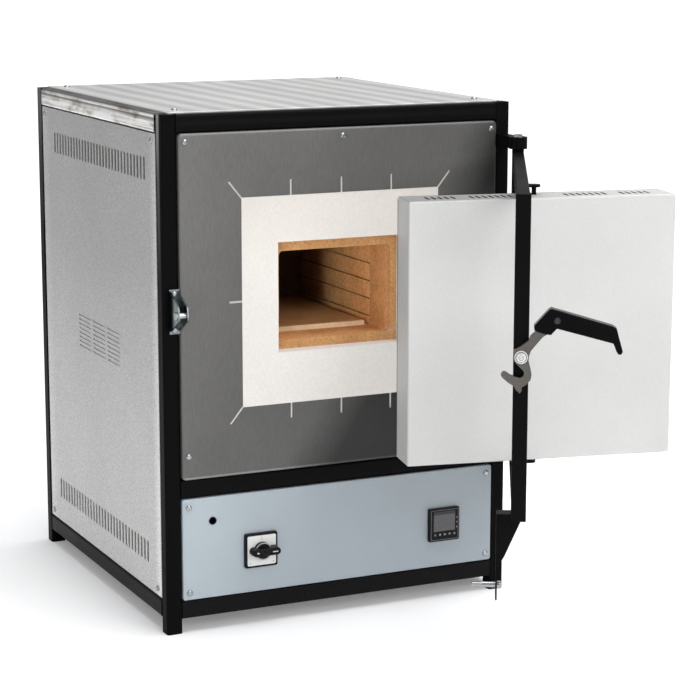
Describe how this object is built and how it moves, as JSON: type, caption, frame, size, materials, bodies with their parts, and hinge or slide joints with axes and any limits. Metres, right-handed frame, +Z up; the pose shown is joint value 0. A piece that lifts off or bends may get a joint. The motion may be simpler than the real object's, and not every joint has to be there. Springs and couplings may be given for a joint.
{
  "type": "laboratory chamber furnace",
  "caption": "Chamber furnace on a square-tube frame with an insulated door on a swinging frame, a hook latch, a control panel and a ceramic muffle.",
  "frame": {"origin": "middle of the casing's footprint, on the floor", "axes": "+Z up, front of the furnace to -Y, its right side (hinge side) to +X"},
  "size_m": [0.5762, 1.0765, 0.7046],
  "materials": {
    "frame_black": "semi-gloss black powder coat",
    "side_grey": "light grey fine texture paint",
    "top_grey": "light grey fine texture paint",
    "brushed_panel": "brushed grey",
    "control_grey": "satin blue-grey paint",
    "zinc_sheet": "plain zinc-coated sheet",
    "door_grey": "light grey fine texture paint",
    "board_white": "matt pressed ceramic fibre",
    "muffle_ceramic": "matt fired ceramic",
    "heater_ceramic": "matt fired ceramic",
    "heater_wire": "oxidised resistance wire",
    "sheath_ceramic": "matt ceramic",
    "black_plastic": "satin black",
    "screen": "gloss dark window",
    "key_grey": "satin grey",
    "white_plastic": "satin white",
    "relay_aluminium": "satin",
    "zinc": "bright zinc",
    "dark_steel": "dark phosphated",
    "black_screw": "blackened steel"
  },
  "bodies": {
    "furnace": {"front_posts": "frame_black", "rear_posts": "frame_black", "top_cross_rails": "frame_black", "top_side_rails": "frame_black", "bottom_cross_rails": "frame_black", "bottom_side_rails": "frame_black", "middle_rail": "frame_black", "shelf_rails": "frame_black", "hinge_brackets": "frame_black", "side_panel_left": "side_grey", "side_panel_right": "side_grey", "rear_panel": "side_grey", "top_cover": "top_grey", "front_panel": "brushed_panel", "control_panel": "control_grey", "chamber_shelf": "zinc_sheet", "base_plate": "zinc_sheet", "front_board": "board_white", "insulation_top": "board_white", "insulation_bottom": "board_white", "insulation_sides": "board_white", "insulation_rear": "board_white", "muffle": "muffle_ceramic", "heater_plates": "heater_ceramic", "hearth_plate": "heater_ceramic", "heating_elements": "heater_wire", "thermocouple": "sheath_ceramic", "controller": "black_plastic", "cam_switch": "black_plastic", "interlock_switch": "black_plastic", "cable_gland": "black_plastic", "controller_display": "screen", "switch_plate": "white_plastic", "terminal_block": "white_plastic", "power_relay": "relay_aluminium", "casing_screws": "zinc", "keeper_bracket": "zinc", "keeper_pin": "zinc", "interlock_grommet": "zinc"},
    "swing_arm": {"hinge_tube": "frame_black", "upper_arm": "frame_black", "lower_arm": "frame_black", "latch_bar": "frame_black", "door_pivots": "frame_black", "interlock_bracket": "frame_black", "interlock_pin": "zinc"},
    "door": {"door_shell": "door_grey", "door_back_plate": "zinc_sheet", "door_insulation": "board_white"},
    "latch": {"hook_lever": "dark_steel", "latch_handle": "black_plastic", "latch_bolt": "zinc", "handle_screw": "black_screw"},
    "knob": {"switch_knob": "black_plastic"},
    "door_switch_plunger": {"interlock_plunger": "zinc"},
    "key_1_body": {"key_1": "key_grey"},
    "key_2_body": {"key_2": "key_grey"},
    "key_3_body": {"key_3": "key_grey"},
    "key_4_body": {"key_4": "key_grey"},
    "key_5_body": {"key_5": "key_grey"}
  },
  "joints": [
    {"name": "arm_swing", "type": "hinge", "parent": "furnace", "child": "swing_arm", "pos_m": [0.2445, -0.3105, 0.42], "axis": [0, 0, 1], "range_deg": [-61.15, 45]},
    {"name": "door_turn", "type": "hinge", "parent": "swing_arm", "child": "door", "pos_m": [0.14069, -0.53417, 0.44], "axis": [0, 0, 1], "range_deg": [-54, 73]},
    {"name": "latch_turn", "type": "hinge", "parent": "swing_arm", "child": "latch", "pos_m": [0.01289, -0.73093, 0.4455], "axis": [-0.4825, -0.8759, 0], "range_deg": [-71.5, 8]},
    {"name": "knob_turn", "type": "hinge", "parent": "furnace", "child": "knob", "pos_m": [-0.123, -0.2725, 0.1055], "axis": [0, 1, 0], "range_deg": [0, 90]},
    {"name": "plunger_slide", "type": "slide", "parent": "furnace", "child": "door_switch_plunger", "axis": [0, 1, 0], "range_m": [0, 0.003], "stiffness_N_per_m": 250},
    {"name": "key_1_press", "type": "slide", "parent": "furnace", "child": "key_1_body", "axis": [0, 1, 0], "range_m": [0, 0.0008], "stiffness_N_per_m": 500},
    {"name": "key_2_press", "type": "slide", "parent": "furnace", "child": "key_2_body", "axis": [0, 1, 0], "range_m": [0, 0.0008], "stiffness_N_per_m": 500},
    {"name": "key_3_press", "type": "slide", "parent": "furnace", "child": "key_3_body", "axis": [0, 1, 0], "range_m": [0, 0.0008], "stiffness_N_per_m": 500},
    {"name": "key_4_press", "type": "slide", "parent": "furnace", "child": "key_4_body", "axis": [0, 1, 0], "range_m": [0, 0.0008], "stiffness_N_per_m": 500},
    {"name": "key_5_press", "type": "slide", "parent": "furnace", "child": "key_5_body", "axis": [0, 1, 0], "range_m": [0, 0.0008], "stiffness_N_per_m": 500}
  ],
  "couplings": [
    {"joint": "door_turn", "follows": "arm_swing", "ratio": -1.1913}
  ]
}
